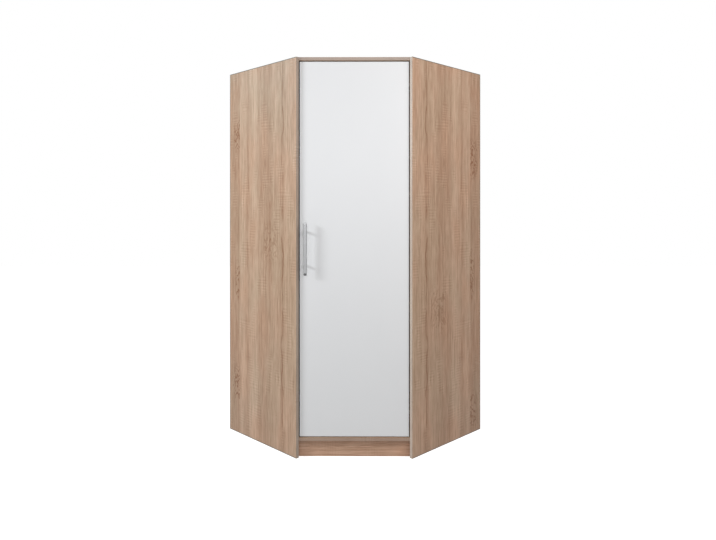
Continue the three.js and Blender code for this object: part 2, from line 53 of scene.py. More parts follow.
# %% Measure the frame
MM = 0.001
DIAGONAL = math.sqrt(0.5)

door_low, door_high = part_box("door_panel")
side_low, side_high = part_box("side_panel_right")
top_low, top_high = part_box("top_panel")
bottom_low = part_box("bottom_panel")[0]

board = top_high.z - top_low.z
wall_leg = side_high.x / DIAGONAL
side_depth = wall_leg - board - side_low.x / DIAGONAL
room_corner_y = side_low.y + (wall_leg + side_depth) * DIAGONAL
front_corner = Vector((side_low.x, room_corner_y - (wall_leg - board + side_depth) * DIAGONAL, 0))
print("board:", round(board, 4), "wall leg:", round(wall_leg, 4))
print("side depth:", round(side_depth, 4), "room corner at y:", round(room_corner_y, 4))

# %% [markdown]
# A photographer stands a little over three metres in front and holds the camera level, so
# the upright edges stay upright. The lens is moved down in its mount instead of being
# tilted: that is what the small vertical shift does.

# %% Place the camera
FRAME_WIDTH = 716
FRAME_HEIGHT = 540
FOCAL_PIXELS = 615
HORIZON_ROW = 208
SENSOR_WIDTH = 36.0
CAMERA_PLACE = (0.0302, -3.4277, 1.1845)
CAMERA_YAW = 0.0043

camera_data = bpy.data.cameras.new("camera")
camera_data.sensor_width = SENSOR_WIDTH
camera_data.lens = FOCAL_PIXELS / FRAME_WIDTH * SENSOR_WIDTH
camera_data.shift_y = (HORIZON_ROW - FRAME_HEIGHT / 2) / FRAME_WIDTH
camera = bpy.data.objects.new("camera", camera_data)
camera.location = CAMERA_PLACE
camera.rotation_euler = (math.pi / 2, 0, CAMERA_YAW)
bpy.context.scene.collection.objects.link(camera)
bpy.context.scene.camera = camera
print("lens:", round(camera_data.lens, 2), "mm")

# %% [markdown]
# Nodes are easier to read as short calls than as long lists of sockets. This small class
# wraps one node tree: a value may be a number, a colour or another node's output, and the
# class either links it or writes it down as the socket's own value. What several finishes
# share goes into a node group, which is made once and then placed by its name.

# %% Define a helper for node trees
class Graph:
    """One node tree that is filled by short calls."""

    def __init__(self, tree):
        self.tree = tree

    def node(self, kind, values=None, **settings):
        made = self.tree.nodes.new(kind)
        for key, value in settings.items():
            setattr(made, key, value)
        for key, value in (values or {}).items():
            self.put(made.inputs[key], value)
        return made

    def put(self, socket, value):
        if isinstance(value, bpy.types.NodeSocket):
            self.tree.links.new(value, socket)
        else:
            socket.default_value = value

    def group(self, name, values):
        return self.node("ShaderNodeGroup", values, node_tree=bpy.data.node_groups[name]).outputs

    def math(self, operation, *values, clamp=False):
        made = self.node("ShaderNodeMath", operation=operation, use_clamp=clamp)
        for socket, value in zip(made.inputs, values):
            self.put(socket, value)
        return made.outputs[0]

    def dot(self, first, second):
        made = self.node("ShaderNodeVectorMath", {0: first, 1: second}, operation="DOT_PRODUCT")
        return made.outputs["Value"]

    def stretch(self, vector, scales):
        made = self.node("ShaderNodeVectorMath", {0: vector, 1: scales}, operation="MULTIPLY")
        return made.outputs["Vector"]

    def split(self, vector):
        return self.node("ShaderNodeSeparateXYZ", {0: vector}).outputs

    def join(self, x, y, z):
        return self.node("ShaderNodeCombineXYZ", {0: x, 1: y, 2: z}).outputs[0]

    def noise(self, vector, detail=2.0):
        values = {"Vector": vector, "Scale": 1.0, "Detail": detail}
        return self.node("ShaderNodeTexNoise", values).outputs[0]

    def remap(self, value, low, high):
        values = {0: value, 1: low, 2: high}
        made = self.node("ShaderNodeMapRange", values, interpolation_type="SMOOTHSTEP")
        return made.outputs[0]

    def mix(self, share, first, second, blend="MIX"):
        values = {0: share, 6: first, 7: second}
        return self.node("ShaderNodeMix", values, data_type="RGBA", blend_type=blend).outputs[2]

    def ramp(self, share, stops):
        made = self.node("ShaderNodeValToRGB", {0: share})
        points = made.color_ramp.elements
        while len(points) < len(stops):
            points.new(1.0)
        for point, (place, value) in zip(points, stops):
            point.position = place
            point.color = (value, value, value, 1)
        return made.outputs["Color"]


def new_group(name, inputs, outputs):
    """Makes a shader node group and returns its graph, its inputs and its output sockets."""
    tree = bpy.data.node_groups.new(name, "ShaderNodeTree")
    for label, kind, value in inputs:
        socket = tree.interface.new_socket(label, in_out="INPUT", socket_type="NodeSocket" + kind)
        socket.default_value = value
    for label, kind in outputs:
        tree.interface.new_socket(label, in_out="OUTPUT", socket_type="NodeSocket" + kind)
    graph = Graph(tree)
    print("group:", name)
    return graph, graph.node("NodeGroupInput").outputs, graph.node("NodeGroupOutput").inputs


# %% [markdown]
# The set is a white studio. The floor is a large pale sheet that fades into an equally white
# surrounding. The white that the camera and the metal see comes from Light Path, so it needs
# no extra light on the wardrobe, and the floor still darkens where the wardrobe shades it.
# What the surrounding does shed on the wardrobe is dim and a trace warm.

# %% Make the white surroundings
WHITE = (1, 1, 1, 1)
SKY_TINT = (1, 0.98, 0.955, 1)
SKY_LEVEL = 0.315
FLOOR_TONES = ((0.55, 0.55, 0.55, 1), (0.60, 0.60, 0.60, 1))
FLOOR_GLOW = 0.86
FLOOR_HALF = 9.0


def seen_directly(graph):
    """One for camera, glossy and transmission rays, nothing for diffuse light."""
    path = graph.node("ShaderNodeLightPath").outputs
    seen = graph.math("MAXIMUM", path["Is Camera Ray"], path["Is Glossy Ray"])
    return graph.math("MAXIMUM", seen, path["Is Transmission Ray"])


def white_world():
    world = bpy.data.worlds.new("studio")
    world.use_nodes = True
    world.node_tree.nodes.clear()
    graph = Graph(world.node_tree)
    lighting = graph.node("ShaderNodeBackground", {0: SKY_TINT, 1: SKY_LEVEL})
    backdrop = graph.node("ShaderNodeBackground", {0: WHITE, 1: 1.0})
    values = {0: seen_directly(graph), 1: lighting.outputs[0], 2: backdrop.outputs[0]}
    mixed = graph.node("ShaderNodeMixShader", values)
    graph.node("ShaderNodeOutputWorld", {0: mixed.outputs[0]})
    return world


def floor_material():
    material = bpy.data.materials.new("pale_floor")
    material.use_nodes = True
    material.node_tree.nodes.clear()
    graph = Graph(material.node_tree)
    place = graph.node("ShaderNodeTexCoord").outputs["Object"]
    cloud = graph.noise(graph.stretch(place, (1.3, 1.3, 1.3)), detail=1)
    matt = graph.node("ShaderNodeBsdfDiffuse", {0: graph.mix(cloud, *FLOOR_TONES)})
    strength = graph.math("MULTIPLY", seen_directly(graph), FLOOR_GLOW)
    glow = graph.node("ShaderNodeEmission", {0: WHITE, 1: strength})
    added = graph.node("ShaderNodeAddShader", {0: matt.outputs[0], 1: glow.outputs[0]})
    graph.node("ShaderNodeOutputMaterial", {0: added.outputs[0]})
    return material


def make_floor():
    mesh = bpy.data.meshes.new("floor")
    signs = ((-1, -1), (1, -1), (1, 1), (-1, 1))
    corners = [(x * FLOOR_HALF, y * FLOOR_HALF, 0) for x, y in signs]
    mesh.from_pydata(corners, [], [(0, 1, 2, 3)])
    mesh.materials.append(floor_material())
    floor = bpy.data.objects.new("floor", mesh)
    bpy.context.scene.collection.objects.link(floor)


bpy.context.scene.world = white_world()
make_floor()
bpy.context.scene.view_settings.view_transform = "Standard"
print("floor:", 2 * FLOOR_HALF, "m square")

# %% [markdown]
# Soft lamps do the rest. The key stands far out to the left, so the handle throws its soft
# shadow sideways across the door. A wide panel in front, at the height of a person's head,
# makes the door fade towards the floor. The left lamp stands where the left panel mirrors
# it towards the camera, which lays a pale sheen on the panel's top; it has little red, so
# that the sheen turns the oak grey there. The right lamp opens up the other side. A lamp's
# level is how bright it makes a white card that faces it at the aimed point, and its power
# follows from that.

# %% Set up the lamps
KEY_AIM = Vector((0, door_low.y, 1.1))
KEY_WAY = Vector((-6.7, -2.7, 2.1)).normalized()
KEY_DISTANCE = 3.0
LAMPS = (  # name, place, aim, size, level and tint
    ("key_lamp", KEY_AIM + KEY_WAY * KEY_DISTANCE, KEY_AIM, (0.6, 0.6), 0.49, (0.97, 1, 1.03)),
    ("front_lamp", (0.1, -2.5, 1.6), (0, door_low.y, 1.6), (1.5, 0.8), 0.25, (0.985, 1, 1.03)),
    ("left_lamp", (-2.4, -0.35, 2.5), (-0.4, -0.4, 1.6), (1.0, 0.9), 0.10, (0.35, 1, 1.2)),
    ("right_lamp", (1.7, -1.7, 2.2), (0.4, -0.4, 1.5), (1.0, 0.9), 0.51, (1.04, 1, 0.98)),
)


def soft_lamp(name, place, aim, size, level, tint):
    data = bpy.data.lights.new(name, "AREA")
    data.shape = "RECTANGLE"
    data.size, data.size_y = size
    data.color = tint
    reach = Vector(aim) - Vector(place)
    data.energy = level * math.pi ** 2 * reach.length_squared
    lamp = bpy.data.objects.new(name, data)
    lamp.location = place
    lamp.rotation_euler = reach.to_track_quat("-Z", "Y").to_euler()
    lamp.visible_camera = False
    bpy.context.scene.collection.objects.link(lamp)
    print(name, "power:", round(data.energy, 1), "W")


for lamp_values in LAMPS:
    soft_lamp(*lamp_values)

# %% [markdown]
# Real boards have two kinds of narrow side. Where a side shows, a plastic band in the colour
# of the foil is glued on; where it is hidden, the raw chips are left open. The shader tells
# them apart by the way the surface faces, so the first shared group turns a direction into a
# mask.

# %% Build the group that finds faces by direction
FACING_NONE = 0.88  # cosines of the angle to the direction
FACING_FULL = 0.96


def build_facing_group():
    inputs = [("Normal", "Vector", (0, 0, 1)), ("Direction", "Vector", (0, 0, 1))]
    graph, given, result = new_group("facing", inputs, [("Mask", "Float")])
    lean = graph.dot(given["Normal"], given["Direction"])
    graph.put(result["Mask"], graph.remap(lean, FACING_NONE, FACING_FULL))


def facing_any(graph, normal, directions):
    """A mask of the faces that point in any of the directions."""
    total = 0.0
    for direction in directions:
        mask = graph.group("facing", {"Normal": normal, "Direction": direction})["Mask"]
        total = graph.math("MAXIMUM", total, mask)
    return total


build_facing_group()

# %% [markdown]
# The oak foil is a printed photograph of boards glued from strips of sawn oak. Each strip is
# a little lighter or darker than the next and has a straight, sharp side. Within a strip run
# long streaks and fine pores, and in places a saw left a ladder of faint marks across it. The
# strips are a short list of tones, and all the rest is noise that is stretched along the
# board. A bitmap would be simpler, but noise stays sharp at any distance and never repeats.

# %% Define the parts of the oak foil
STRIP_TONES = (  # millimetres from the board's side, and the tone from there on
    (0, 0.96), (90, 0.93), (93, 1.04), (125, 1.04), (172, 0.96), (186, 1.03),
    (236, 1.06), (266, 0.96), (300, 0.98), (350, 0.94), (385, 1.00), (430, 1.01),
    (456, 0.95), (490, 1.03), (520, 1.00), (555, 1.03),
)
STRIPS_WIDTH = 0.562
RAMP_LOW = 0.8
RAMP_HIGH = 1.2
SAW_PITCH = 14 * MM
RING_PITCH = 11 * MM
STREAKS = (  # turns a metre across, through and along the board, and how strong
    ((14, 1, 3), 0.11),
    ((48, 3, 1.7), 0.12),
    ((120, 5, 4.5), 0.37),
    ((380, 9, 16), 0.46),
)


def strip_tone(graph, across):
    """The tone of the upright strips, which start again after one board's width."""
    share = graph.math("FRACT", graph.math("DIVIDE", across, STRIPS_WIDTH))
    span = RAMP_HIGH - RAMP_LOW
    stops = [(mm * MM / STRIPS_WIDTH, (tone - RAMP_LOW) / span) for mm, tone in STRIP_TONES]
    return graph.math("MULTIPLY_ADD", graph.ramp(share, stops), span, RAMP_LOW)


def centred_noise(graph, place, scales, amount, detail=2.0):
    """Noise about zero. The scales are turns a metre across, through and along the board."""
    grey = graph.noise(graph.stretch(place, scales), detail=detail)
    return graph.math("MULTIPLY", graph.math("SUBTRACT", grey, 0.5), amount)


def saw_marks(graph, place, along):
    """Faint ladders of marks across the grain, only in some patches."""
    wobble = centred_noise(graph, place, (3, 1, 22), 14.0)
    phase = graph.math("MULTIPLY_ADD", along, 2 * math.pi / SAW_PITCH, wobble)
    patches = graph.remap(graph.noise(graph.stretch(place, (19, 1, 9)), detail=1), 0.54, 0.64)
    return graph.math("MULTIPLY", graph.math("SINE", phase), patches)


def year_rings(graph, place, across):
    """Thin dark lines along the grain, where the saw cut the rings of the log."""
    drift = centred_noise(graph, place, (5, 1, 0.6), 16.0, detail=3)
    drift = graph.math("MULTIPLY", drift, math.pi)
    phase = graph.math("MULTIPLY_ADD", across, 2 * math.pi / RING_PITCH, drift)
    clear = graph.remap(graph.noise(graph.stretch(place, (11, 1, 2.3)), detail=2), 0.42, 0.60)
    return graph.math("MULTIPLY", graph.remap(graph.math("SINE", phase), 0.1, 1.0), clear)


print("strips:", len(STRIP_TONES), "over", STRIPS_WIDTH, "m")

# %% [markdown]
# The foil's group adds these parts up to one tone, which then chooses between a dark and a
# light colour. Broad patches turn it a trace cooler or warmer, as real wood does. How strong
# the strips and the saw marks are is left open, since a plinth's foil is calmer than a side
# panel's, and so is the figure, a mask of single dark marks that is made further on.

# %% Build the oak group
RING_DARK = 0.07
FIGURE_DARK = 0.31
PORE_DARK = 0.06
SAW_LIGHT = 0.04
TONE_DARKEST = 0.57
TONE_LIGHTEST = 1.43
COOL_PATCH = (0.97, 1.01, 1.01, 1)
WARM_PATCH = (1.03, 0.985, 0.96, 1)
FOIL_ROUGHNESS = 0.42


def build_oak_group():
    inputs = [
        ("Place", "Vector", (0, 0, 0)),
        ("Strips", "Float", 1.0),
        ("Saw Marks", "Float", 1.0),
        ("Figure", "Float", 0.0),
        ("Light", "Color", (0.6, 0.45, 0.33, 1)),
        ("Dark", "Color", (0.4, 0.27, 0.18, 1)),
    ]
    outputs = [("Color", "Color"), ("Roughness", "Float"), ("Height", "Float")]
    graph, given, result = new_group("oak_foil", inputs, outputs)
    flat_across, through, along = graph.split(given["Place"])
    wander = centred_noise(graph, given["Place"], (7, 1, 4), 0.012)
    across = graph.math("ADD", flat_across, wander)
    place = graph.join(across, through, along)

    strips = graph.math("SUBTRACT", strip_tone(graph, flat_across), 1.0)
    tone = graph.math("MULTIPLY_ADD", strips, given["Strips"], 1.0)
    for scales, amount in STREAKS:
        tone = graph.math("ADD", tone, centred_noise(graph, place, scales, amount, detail=3))
    tone = graph.math("MULTIPLY_ADD", year_rings(graph, place, across), -RING_DARK, tone)
    marks = graph.math("MULTIPLY", saw_marks(graph, place, along), given["Saw Marks"])
    tone = graph.math("MULTIPLY_ADD", marks, SAW_LIGHT, tone)
    tone = graph.math("MULTIPLY_ADD", given["Figure"], -FIGURE_DARK, tone)
    pores = graph.noise(graph.stretch(place, (1500, 300, 26)), detail=1)
    pores = graph.remap(pores, 0.60, 0.72)
    tone = graph.math("MULTIPLY_ADD", pores, -PORE_DARK, tone)

    share = graph.remap(tone, TONE_DARKEST, TONE_LIGHTEST)
    color = graph.mix(share, given["Dark"], given["Light"])
    patch = graph.noise(graph.stretch(place, (9, 1, 3)), detail=2)
    cool = graph.mix(1.0, color, COOL_PATCH, "MULTIPLY")
    warm = graph.mix(1.0, color, WARM_PATCH, "MULTIPLY")
    color = graph.mix(graph.remap(patch, 0.48, 0.66), color, cool)
    color = graph.mix(graph.remap(patch, 0.52, 0.34), color, warm)
    graph.put(result["Color"], color)

    rough = graph.math("MULTIPLY_ADD", pores, 0.10, FOIL_ROUGHNESS)
    graph.put(result["Roughness"], graph.math("MULTIPLY_ADD", marks, 0.03, rough))
    height = graph.math("MULTIPLY_ADD", pores, -0.7, graph.math("MULTIPLY", marks, 0.15))
    graph.put(result["Height"], graph.math("ADD", height, tone))


build_oak_group()

# %% [markdown]
# Here and there the saw cut through the rings at a slant. That leaves a flame: arches of dark
# lines, one inside the other, that waver and break off at the side of the strip. A flame is a
# sine that runs along the board and bows with the square of the way across. A vein is simpler:
# one dark line that sways along the grain and comes and goes. Each gets a group of its own,
# with its middle, its half width and its half length as inputs.

# %% Build the groups for flames and veins
def start_figure(name, more_inputs):
    """Starts a group for a mark round a middle, and returns how far it is across and along."""
    inputs = [
        ("Place", "Vector", (0, 0, 0)),
        ("Middle Across", "Float", 0.05),
        ("Middle Along", "Float", 1.0),
        ("Half Width", "Float", 0.03),
        ("Half Length", "Float", 0.15),
    ]
    graph, given, result = new_group(name, inputs + more_inputs, [("Mask", "Float")])
    across, _, along = graph.split(given["Place"])
    to_side = graph.math("SUBTRACT", across, given["Middle Across"])
    rise = graph.math("SUBTRACT", along, given["Middle Along"])
    rise = graph.math("DIVIDE", rise, given["Half Length"])
    return graph, given, result, across, to_side, rise


def build_flame_group():
    more_inputs = [("Cut Across", "Float", 1.0), ("Arches", "Float", 2.2)]
    graph, given, result, across, to_side, rise = start_figure("flame", more_inputs)
    side = graph.math("DIVIDE", to_side, given["Half Width"])
    bow = graph.math("MULTIPLY_ADD", graph.math("POWER", side, 2), 1.3, rise)
    sway = centred_noise(graph, given["Place"], (30, 1, 17), 4.4, detail=3)
    turns = graph.math("MULTIPLY_ADD", bow, given["Arches"], sway)
    wave = graph.math("SINE", graph.math("MULTIPLY", turns, 2 * math.pi))
    lines = graph.remap(wave, 0.1, 1.0)
    fade_along = graph.remap(graph.math("ABSOLUTE", rise), 1.0, 0.3)
    fade_across = graph.remap(graph.math("ABSOLUTE", side), 1.0, 0.5)
    fade = graph.math("MULTIPLY", fade_along, fade_across)
    to_cut = graph.math("SUBTRACT", given["Cut Across"], across)
    kept = graph.remap(to_cut, -1.5 * MM, 1.5 * MM)
    graph.put(result["Mask"], graph.math("MULTIPLY", graph.math("MULTIPLY", lines, fade), kept))


def build_vein_group():
    more_inputs = [("Sway", "Float", 0.02)]
    graph, given, result, _, to_side, rise = start_figure("vein", more_inputs)
    sway = centred_noise(graph, given["Place"], (4, 0, 9), 1.0, detail=3)
    sway = graph.math("MULTIPLY", sway, given["Sway"])
    side = graph.math("DIVIDE", graph.math("SUBTRACT", to_side, sway), given["Half Width"])
    line = graph.remap(graph.math("ABSOLUTE", side), 1.0, 0.0)
    whole = graph.noise(graph.stretch(given["Place"], (9, 0, 6)), detail=2)
    fade_along = graph.remap(graph.math("ABSOLUTE", rise), 1.0, 0.6)
    fade = graph.math("MULTIPLY", graph.remap(whole, 0.40, 0.58), fade_along)
    graph.put(result["Mask"], graph.math("MULTIPLY", line, fade))


def figure_mask(graph, place, kind, spots):
    """A mask of several flames or veins. A spot is its strength and the inputs of its group."""
    total = 0.0
    for strength, *values in spots:
        mask = graph.group(kind, dict(enumerate((place, *values))))["Mask"]
        total = graph.math("MAXIMUM", total, graph.math("MULTIPLY", mask, strength))
    return total


build_flame_group()
build_vein_group()

# %% [markdown]
# Chipboard is pressed from flakes of wood, and on a raw side every flake shows its own tone.
# A Voronoi texture gives each cell its own grey, which is just that. The same group also
# serves the hardboard backs, whose fibres are much finer, by way of its size input.

# %% Build the group for raw chips and fibres
def build_chips_group():
    inputs = [
        ("Place", "Vector", (0, 0, 0)),
        ("Flake", "Float", 0.002),
        ("Light", "Color", (0.62, 0.47, 0.30, 1)),
        ("Dark", "Color", (0.30, 0.20, 0.12, 1)),
    ]
    outputs = [("Color", "Color"), ("Height", "Float")]
    graph, given, result = new_group("raw_chips", inputs, outputs)
    scale = graph.math("DIVIDE", 1.0, given["Flake"])
    made = graph.node("ShaderNodeTexVoronoi", {"Vector": given["Place"], "Scale": scale})
    grey = graph.split(made.outputs["Color"])[0]
    broad = graph.noise(graph.stretch(given["Place"], (60, 60, 60)), detail=3)
    broad = graph.math("SUBTRACT", broad, 0.5)
    share = graph.math("MULTIPLY_ADD", broad, 0.6, grey, clamp=True)
    graph.put(result["Color"], graph.mix(share, given["Dark"], given["Light"]))
    graph.put(result["Height"], made.outputs["Distance"])


build_chips_group()

# %% [markdown]
# Smooth things are never evenly smooth: hands, cloths and dust leave broad, faint patches
# that only show in the gloss, and fine lines where they were wiped. One group gives both as
# a change of roughness and a height, and the door, the metal and the plastic all use it.

# %% Build the group for handling marks
def build_marks_group():
    inputs = [
        ("Place", "Vector", (0, 0, 0)),
        ("Lines", "Vector", (900.0, 900.0, 14.0)),
        ("Base", "Float", 0.4),
        ("Patches", "Float", 0.06),
        ("Line Strength", "Float", 0.05),
    ]
    outputs = [("Roughness", "Float"), ("Height", "Float")]
    graph, given, result = new_group("handling", inputs, outputs)
    broad = graph.noise(graph.stretch(given["Place"], (7, 7, 5)), detail=4)
    lines = graph.noise(graph.stretch(given["Place"], given["Lines"]), detail=2)
    broad = graph.math("SUBTRACT", broad, 0.5)
    fine = graph.math("SUBTRACT", lines, 0.5)
    rough = graph.math("MULTIPLY_ADD", broad, given["Patches"], given["Base"])
    graph.put(result["Roughness"], graph.math("MULTIPLY_ADD", fine, given["Line Strength"], rough))
    graph.put(result["Height"], lines)


build_marks_group()

# %% [markdown]
# A finish starts from the Principled shader. The next helper makes an empty material with
# that shader and hands back its graph, together with the two things every finish here asks
# for: where a point is on the object, and which way its surface faces.

# %% Define how a finish is started
def new_finish(name, metallic=0.0):
    material = bpy.data.materials.new(name)
    material.use_nodes = True
    material.node_tree.nodes.clear()
    graph = Graph(material.node_tree)
    shader = graph.node("ShaderNodeBsdfPrincipled", {"Metallic": metallic})
    graph.node("ShaderNodeOutputMaterial", {0: shader.outputs[0]})
    coordinates = graph.node("ShaderNodeTexCoord").outputs
    return material, graph, shader.inputs, coordinates["Object"], coordinates["Normal"]


def set_bump(graph, shader, height, distance, strength):
    values = {"Height": height, "Distance": distance, "Strength": strength}
    graph.put(shader["Normal"], graph.node("ShaderNodeBump", values).outputs[0])


# %% [markdown]
# Every oak board uses the same foil, but it lies a different way on each. A board is
# described by the directions across its grain, through its thickness and along its grain,
# and by the sides that carry a band; what faces any other way is raw. A band is a plastic
# strip from another roll and never quite matches the foil, so it has a tone of its own, and
# on most boards that tone also carries painted light and shade. A side panel's face also gets
# a thin dark outline of painted shade along its wall side, top and foot.

# %% Define how an oak board is finished
OAK_LIGHT = (0.750, 0.532, 0.378, 1)
OAK_DARK = (0.210, 0.078, 0.019, 1)
BAND_LEVEL = (0.41, 0.328, 0.268, 1)
BAND_SHARE = 0.75  # the rest is the foil's own colour
# A thin dark outline of painted shade on the side panels' faces.
OUTLINE_SHADE_TONE = (0.125, 0.100, 0.078, 1)
OUTLINE_SHADE_WIDTH = 3.8 * MM


def board_place(graph, place, across, through, along, start):
    """Turns a place on the object into one on a board: across, through and along its grain."""
    from_edge = graph.math("ADD", graph.dot(place, across), start)
    return graph.join(from_edge, graph.dot(place, through), graph.dot(place, along))


def outline_shade_mask(graph, on_board):
    """A mask of painted shade: a thin dark outline on the face, along the wall side, top and foot.
    """
    across, _, along = graph.split(on_board)
    from_end = graph.math("MINIMUM", along, graph.math("SUBTRACT", side_high.z, along))
    from_side = graph.math("MINIMUM", across, from_end)
    return graph.remap(from_side, 1.2 * OUTLINE_SHADE_WIDTH, 0.8 * OUTLINE_SHADE_WIDTH)


def oak_finish(
        name, across, through, along, start, light=OAK_LIGHT, banded=(), band_tone_and_light=BAND_LEVEL,
        flames=(), veins=(), strips=1.0, saw=1.0, painted_outline=False):
    material, graph, shader, place, normal = new_finish(name)
    on_board = board_place(graph, place, across, through, along, start)
    flame_mask = figure_mask(graph, on_board, "flame", flames)
    vein_mask = figure_mask(graph, on_board, "vein", veins)
    foil = graph.group("oak_foil", {
        "Place": on_board,
        "Strips": strips,
        "Saw Marks": saw,
        "Figure": graph.math("MAXIMUM", flame_mask, vein_mask),
        "Light": light,
        "Dark": OAK_DARK,
    })
    chips = graph.group("raw_chips", {"Place": place})

    face = Vector(through)
    flat = facing_any(graph, normal, [tuple(face), tuple(-face)])
    band = facing_any(graph, normal, banded)
    closed = graph.math("MAXIMUM", flat, band)
    open_side = graph.math("SUBTRACT", 1.0, closed, clamp=True)

    face_color = foil["Color"]
    # Painted shade: a thin dark outline along the face's wall side, top and foot.
    if painted_outline:
        face_color = graph.mix(outline_shade_mask(graph, on_board), face_color, OUTLINE_SHADE_TONE)
    # The band's tone, with the painted shade and sheen that some boards' tones carry.
    band_color = graph.mix(BAND_SHARE, foil["Color"], band_tone_and_light)
    color = graph.mix(band, face_color, band_color)
    color = graph.mix(open_side, color, chips["Color"])
    graph.put(shader["Base Color"], color)
    rough = graph.math("MULTIPLY_ADD", band, -0.12, foil["Roughness"])
    graph.put(shader["Roughness"], graph.math("MULTIPLY_ADD", open_side, 0.3, rough))
    height = graph.math("MULTIPLY_ADD", open_side, chips["Height"], foil["Height"])
    set_bump(graph, shader, height, 0.12 * MM, 0.5)
    return material


# %% [markdown]
# The side panels mirror each other, as they were cut from one printed sheet, and carry much
# the same flames near the wall. Flames and veins are short tables, a row for each. The bands
# carry painted light: painted shade makes the left panel's band darker than the foil and the
# bottom board's darker and redder, and a painted sheen makes the right one's lighter than the
# foil and the top board's greyer. On the level boards the grain runs from side to side, and
# the plinth has a warmer foil with weaker strips.

# %% Make the oak finishes
UP = (0, 0, 1)
FRONT = (0, -1, 0)
BACK = (0, 1, 0)
RIGHT = (1, 0, 0)
FROM_LEFT_WALL = (DIAGONAL, -DIAGONAL, 0)
FROM_RIGHT_WALL = (-DIAGONAL, -DIAGONAL, 0)
ALONG_LEFT_WALL = (DIAGONAL, DIAGONAL, 0)
ALONG_RIGHT_WALL = (DIAGONAL, -DIAGONAL, 0)
LEVEL_WAY = (BACK, UP, RIGHT, 1.2)
PLINTH_LIGHT = (0.850, 0.570, 0.410, 1)
# Band tones with painted light: painted shade on the left and bottom bands, a painted sheen on the
# right and top ones.
BAND_LEFT_SHADED = (0.34, 0.29, 0.245, 1)
BAND_RIGHT_SHEEN = (0.60, 0.515, 0.44, 1)
BAND_TOP_SHEEN = (0.41, 0.352, 0.315, 1)
BAND_BOTTOM_SHADED = (0.35, 0.245, 0.187, 1)
LEFT_FLAMES = (  # strength, middle across and along, half width and length, end of the strip
    (1.0, 0.082, 1.57, 0.060, 0.11, 0.092),
    (0.8, 0.086, 0.80, 0.050, 0.13, 0.092),
    (1.0, 0.080, 0.25, 0.062, 0.13, 0.092),
    (0.4, 0.360, 1.01, 0.080, 0.12, 0.456),
)
RIGHT_FLAMES = (
    (1.0, 0.082, 1.44, 0.062, 0.13, 0.092),
    (0.8, 0.086, 0.84, 0.044, 0.17, 0.092),
    (1.0, 0.080, 0.12, 0.060, 0.12, 0.092),
    (0.4, 0.360, 0.68, 0.085, 0.16, 0.456),
)
BOTH_VEINS = (  # strength, middle across and along, half width and length, how far it sways
    (0.8, 0.458, 0.95, 0.0055, 1.20, 0.05),
    (0.5, 0.172, 1.27, 0.0060, 0.20, 0.01),
    (0.5, 0.174, 0.55, 0.0060, 0.22, 0.01),
    (0.4, 0.232, 0.46, 0.0050, 0.20, 0.02),
)
LEFT_VEINS = BOTH_VEINS + ((0.8, 0.357, 1.09, 0.0070, 0.16, 0.01),)
RIGHT_VEINS = BOTH_VEINS + ((0.8, 0.354, 0.70, 0.0070, 0.13, 0.01),)

from_wall = room_corner_y * DIAGONAL
oak_left = oak_finish(
    "oak_left", FROM_LEFT_WALL, FROM_RIGHT_WALL, UP, from_wall, banded=(FROM_LEFT_WALL, UP),
    band_tone_and_light=BAND_LEFT_SHADED, flames=LEFT_FLAMES, veins=LEFT_VEINS, painted_outline=True)
oak_right = oak_finish(
    "oak_right", FROM_RIGHT_WALL, FROM_LEFT_WALL, UP, from_wall, banded=(FROM_RIGHT_WALL, UP),
    band_tone_and_light=BAND_RIGHT_SHEEN, flames=RIGHT_FLAMES, veins=RIGHT_VEINS, painted_outline=True)
oak_top = oak_finish("oak_top", *LEVEL_WAY, banded=(FRONT,), band_tone_and_light=BAND_TOP_SHEEN)
oak_bottom = oak_finish("oak_bottom", *LEVEL_WAY, banded=(FRONT,), band_tone_and_light=BAND_BOTTOM_SHADED)
oak_shelf = oak_finish("oak_shelf", *LEVEL_WAY, banded=(FRONT,))
oak_plinth = oak_finish(
    "oak_plinth", UP, FRONT, RIGHT, 0.10, light=PLINTH_LIGHT, strips=0.5, saw=0.3)
oak_post = oak_finish("oak_post", RIGHT, BACK, UP, 0.4)
oak_rear_left = oak_finish("oak_rear_left", UP, FROM_LEFT_WALL, ALONG_LEFT_WALL, 0.3)
oak_rear_right = oak_finish("oak_rear_right", UP, FROM_RIGHT_WALL, ALONG_RIGHT_WALL, 0.3)
print("flames:", len(LEFT_FLAMES + RIGHT_FLAMES), "veins:", len(LEFT_VEINS + RIGHT_VEINS))

# %% [markdown]
# The door is white foil on chipboard, embossed so finely that it only softens the light. The
# backs are hardboard: a pale printed face inside, bare brown fibre behind.

# %% Make the white front and the back board
DOOR_TONES = ((0.83, 0.838, 0.848, 1), (0.85, 0.857, 0.866, 1))
PRINT_TONES = ((0.66, 0.64, 0.60, 1), (0.72, 0.70, 0.66, 1))
FIBRE_LIGHT = (0.36, 0.235, 0.14, 1)
FIBRE_DARK = (0.22, 0.135, 0.075, 1)
FIBRE_SIZE = 1.2 * MM


def white_front_finish():
    material, graph, shader, place, _ = new_finish("white_front_foil")
    marks = graph.group("handling", {"Place": place, "Lines": (700, 700, 240), "Base": 0.52})
    cloud = graph.noise(graph.stretch(place, (5, 5, 3)), detail=2)
    graph.put(shader["Base Color"], graph.mix(cloud, *DOOR_TONES))
    graph.put(shader["Roughness"], marks["Roughness"])
    set_bump(graph, shader, marks["Height"], 0.05 * MM, 0.35)
    return material


